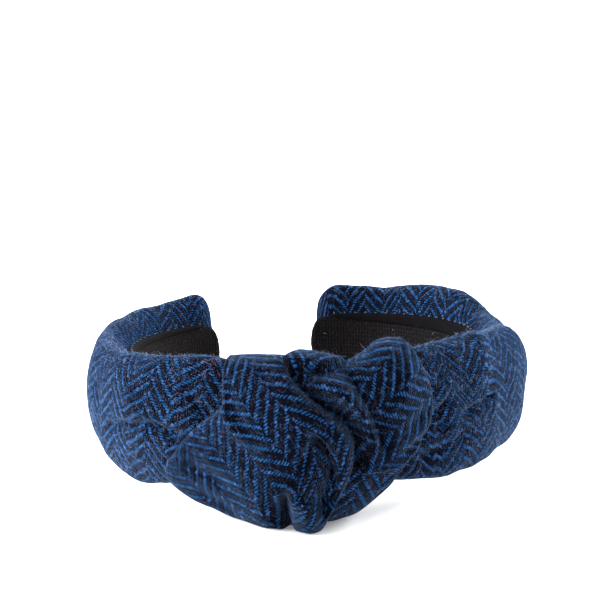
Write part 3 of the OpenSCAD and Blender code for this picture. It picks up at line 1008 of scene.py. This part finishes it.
# where the front fold's edge stands over the right fold
CREVICE = [(-26, 23), (-19, 15.5), (-13.4, 11), (-8.4, 8.4), (-5.4, 1.7), (-5.4, -4),
           (-8.6, -11)]
RIGHT_OUTLINE = [
    (-19, 22, -4, 4), (-18, 30, -4, 4), (-12, 40, -2, 5), (-4, 44, -1, 5),
    (4, 46, -1, 5), (10, 44, -1, 5), (12.6, 36, -1.5, 4.5), (13.9, 26, -1.5, 4.5),
    (15.6, 17, -1.5, 4.5), (16.6, 10, -1.5, 4), (15.8, 3, -2, 4), (13, -4, -2.5, 3.6),
    (9.6, -10, -3.5, 3.2), (6.2, -13, -4, 3), (2, -12.8, -5, 2.8), (-2, -11.6, -6, 2.8),
    (-6, -12, -7, 3), (-9, -7, -7, 3), (-10, 1, -7, 3), (-12, 8, -7, 3), (-16, 14, -6, 3)]
RIGHT_CREASES = [
    ([(-8, 25), (-3.6, 16.5), (-0.4, 9), (2.2, 0.5), (3, -8)], "groove", 4.2, 2.0,
     (0.3, 0.35)),
    ([(-14.5, 22), (-9.5, 15.5), (-5.2, 8.5), (-2.6, 1.5)], "ridge", 1.8, 2.4,
     (0.25, 0.4)),
    ([(23, 7), (16, 5), (9, 1)], "groove", 1.3, 2.2, (0.3, 0.5)),
    ([(21, -1), (14, -4.5), (7, -7)], "groove", 1.3, 1.8, (0.2, 0.5)),
    ([(17, 22), (12, 15), (9.5, 8)], "ridge", 0.9, 3, (0.4, 0.4))]


def right_top(a, s):
    """Height of the right fold, which sinks where it passes under the front fold."""
    off, _, _ = near_line(a * KNOT_DEG, s, CREVICE)
    high = between(a, [-18, -8, -3, 4, 10, 17], [5.4, 6.2, 7.0, 7.2, 6.6, 4.8])
    high = -2.5 + (high + 2.5) * ramp(off, 0.2, 5.0)
    crest = between(a, [-18, -8, 0, 7, 13], [-1.0, -0.5, 2.0, 4.2, 3.4])
    return high + (crest - high) * ramp(s, 12, 28)


UNDER_OUTLINE = [
    (-15, -14, -5, 3), (-9, -9, -4, 3), (-4, -7, -4, 3), (2, -7, -4, 3),
    (6.8, -9.5, -3.5, 3), (8.4, -13.5, -2, 3.2), (6.4, -19.5, -1.4, 4), (1.8, -27, -1.2, 5),
    (-4, -33, -1.5, 6), (-11, -38, -1.5, 6), (-17, -36, -3, 5), (-18, -24, -5, 4)]
TUCK_OUTLINE = [
    (-20, 27, -3, 4), (-18, 33, -2, 4), (-14.5, 41, -1, 5), (-8, 43, -1, 5),
    (-3, 37, -2, 4.5), (-3.5, 30, -3, 4), (-7, 25, -4, 4), (-11, 23, -4, 4),
    (-16, 24, -4, 4)]


def under_top(a, s):
    return between(a, [-16, -6, 8], [1.5, 3.6, 4.2]) - 0.6 * ramp(-s, 16, 30)


def tuck_top(a, s):
    return between(a, [-19, -14, -7, -2], [2.4, 4.2, 3.4, 1.6])


# Name, the nodes it stands for, outline, middle, height of its top, creases, and how it is laid
FOLDS = (
    ("knot_front_fold", ["knot_front_lobe", "knot_inner_ply"], FRONT_OUTLINE, (-24, -1),
     front_top, FRONT_CREASES, dict(grain=-42, bend=(-28, -14), seed=11)),
    ("knot_right_fold", ["knot_right_lobe"], RIGHT_OUTLINE, (4, 14), right_top,
     RIGHT_CREASES, dict(grain=65, seed=23)),
    ("knot_under_fold", ["knot_under_lobe"], UNDER_OUTLINE, (-4, -19), under_top, (),
     dict(grain=20, seed=31, spokes=200, rings=50)),
    ("knot_top_fold", ["knot_top_tuck"], TUCK_OUTLINE, (-11, 30), tuck_top, (),
     dict(grain=15, seed=41, spokes=160, rings=40)))


class HEADBAND_OT_knot(bpy.types.Operator):
    """The tied knot: its folds of tweed, and the wadding inside"""
    bl_idname = "headband.knot"
    bl_label = "Knot"

    def execute(self, context):
        skins = []
        for name, nodes, outline, centre, top, creases, more in FOLDS:
            piece, skin = fold_piece(name, outline, centre, top, creases, **more)
            skins.append(skin)
            finish_with(piece, "tweed")
            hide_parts(*nodes)
            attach(piece, "crown")
        fuzz = hair_piece("knot_wool_hairs", skins, int(sizes().hairs * 0.8), 57)
        # the knot's hairs take the darkened copy of the wool: painted shade
        finish_with(fuzz, "shaded_copy_wool")
        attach(fuzz, "crown")
        stitches = knot_stitches()
        finish_with(stitches, "thread")
        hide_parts("knot_stitches")
        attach(stitches, "crown")
        reach, rows = 17, 40
        angles = np.linspace(KNOT_A - reach, KNOT_A + reach, rows)
        turn = np.linspace(0, 2 * math.pi, rows, endpoint=False)
        a, t = np.meshgrid(angles, turn, indexing="ij")
        ends = np.sqrt(np.clip(1 - (np.abs(a - KNOT_A) / (reach + 0.2)) ** 4, 0.001, 1))
        points = band_point(a, 79 + 3.5 * ends * np.cos(t), 11 * ends * np.sin(t))
        stuffing = piece_from_grid("knot_stuffing", points, np.zeros((rows, rows + 1, 2)))
        # near-black stuffing: painted shade where it shows between the folds
        finish_with(stuffing, "wadding")
        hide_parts("knot_wadding")
        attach(stuffing, "crown")
        return {"FINISHED"}


# ---------------------------------------------------------------- band and its stitches


class HEADBAND_OT_frame_finish(bpy.types.Operator):
    """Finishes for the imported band's own pieces"""
    bl_idname = "headband.frame_finish"
    bl_label = "Band and stitches"

    def execute(self, context):
        for name, node in frame["nodes"].items():
            if name.endswith("_core"):
                finish_with(node, "band_plastic")
            elif name.endswith("_stitches"):
                finish_with(node, "thread")
        return {"FINISHED"}


# ---------------------------------------------------------------- stage


class HEADBAND_OT_stage(bpy.types.Operator):
    """Pale floor, soft lights and the camera"""
    bl_idname = "headband.stage"
    bl_label = "Stage"

    def execute(self, context):
        for picked in context.selected_objects:
            picked.select_set(False)
        bpy.ops.mesh.primitive_plane_add(size=60.0, location=(0, 0, 0))
        floor = context.object
        floor.name = "floor"
        finish_with(floor, "paper")
        context.scene.view_settings.view_transform = "Standard"
        world = bpy.data.worlds.new("studio")
        context.scene.world = world
        world.use_nodes = True
        backdrop = world.node_tree.nodes["Background"]
        backdrop.inputs[0].default_value = (1, 1, 1, 1)
        backdrop.inputs[1].default_value = 0.24
        sun = bpy.data.lights.new("overhead", "SUN")
        sun.energy = 2.0
        sun.angle = math.radians(56)
        lamp = bpy.data.objects.new("overhead", sun)
        lamp.rotation_euler = Vector((0.1, -0.12, -1)).to_track_quat("-Z", "Y").to_euler()
        context.scene.collection.objects.link(lamp)
        for name, place, power in (("left_side", (-0.9, 0.35, 0.35), 66),
                                   ("right_side", (0.95, 0.4, 0.35), 84),
                                   ("under_front", (0.15, -0.9, 0.12), 0.6)):
            light = bpy.data.lights.new(name, "AREA")
            light.size = 0.9
            light.energy = power
            lamp = bpy.data.objects.new(name, light)
            lamp.location = place
            aim = Vector((0, 0, 0.02)) - lamp.location
            lamp.rotation_euler = aim.to_track_quat("-Z", "Y").to_euler()
            context.scene.collection.objects.link(lamp)
        # The camera looks at the band's middle; its angles are to the band's own plane
        rise, swing, roll, away = math.radians(13.5), math.radians(-14), math.radians(2), 0.62
        back = Vector((math.sin(swing) * math.cos(rise), -math.cos(swing) * math.cos(rise),
                       math.sin(rise)))
        right = Vector((math.cos(swing), math.sin(swing), 0))
        up = back.cross(right)
        right, up = (right * math.cos(roll) - up * math.sin(roll),
                     up * math.cos(roll) + right * math.sin(roll))
        axes = [BAND_TURN @ v for v in (right, up, back)]
        lens = bpy.data.cameras.new("camera")
        lens.sensor_width = 36
        lens.lens = 102.3
        lens.shift_x = -0.00667
        lens.shift_y = 0.13
        camera = bpy.data.objects.new("camera", lens)
        turn = Matrix(axes).transposed().to_4x4()
        camera.matrix_world = Matrix.Translation(BAND_ORIGIN + axes[2] * away) @ turn
        context.scene.collection.objects.link(camera)
        context.scene.camera = camera
        return {"FINISHED"}


class HEADBAND_PT_panel(bpy.types.Panel):
    """Sizes, colours and the steps that build the headband"""
    bl_idname = "HEADBAND_PT_panel"
    bl_label = "Knotted headband"
    bl_space_type = "VIEW_3D"
    bl_region_type = "UI"
    bl_category = "Headband"

    def draw(self, context):
        for group in (context.scene.headband_sizes, context.scene.headband_colours):
            for name in group.bl_rna.properties.keys():
                if name not in ("rna_type", "name"):
                    self.layout.prop(group, name)
        for step in STEPS:
            self.layout.operator(step.bl_idname)


STEPS = (HEADBAND_OT_stage, HEADBAND_OT_covers, HEADBAND_OT_lining, HEADBAND_OT_knot,
         HEADBAND_OT_frame_finish)
CLASSES = (HeadbandSizes, HeadbandColours, *STEPS, HEADBAND_PT_panel)


def register():
    for cls in CLASSES:
        bpy.utils.register_class(cls)
    bpy.types.Scene.headband_sizes = bpy.props.PointerProperty(type=HeadbandSizes)
    bpy.types.Scene.headband_colours = bpy.props.PointerProperty(type=HeadbandColours)


def unregister():
    del bpy.types.Scene.headband_colours
    del bpy.types.Scene.headband_sizes
    for cls in reversed(CLASSES):
        bpy.utils.unregister_class(cls)


def main():
    register()
    bpy.ops.headband.stage()
    bpy.ops.headband.covers()
    bpy.ops.headband.lining()
    bpy.ops.headband.knot()
    bpy.ops.headband.frame_finish()


if __name__ == "__main__":
    main()
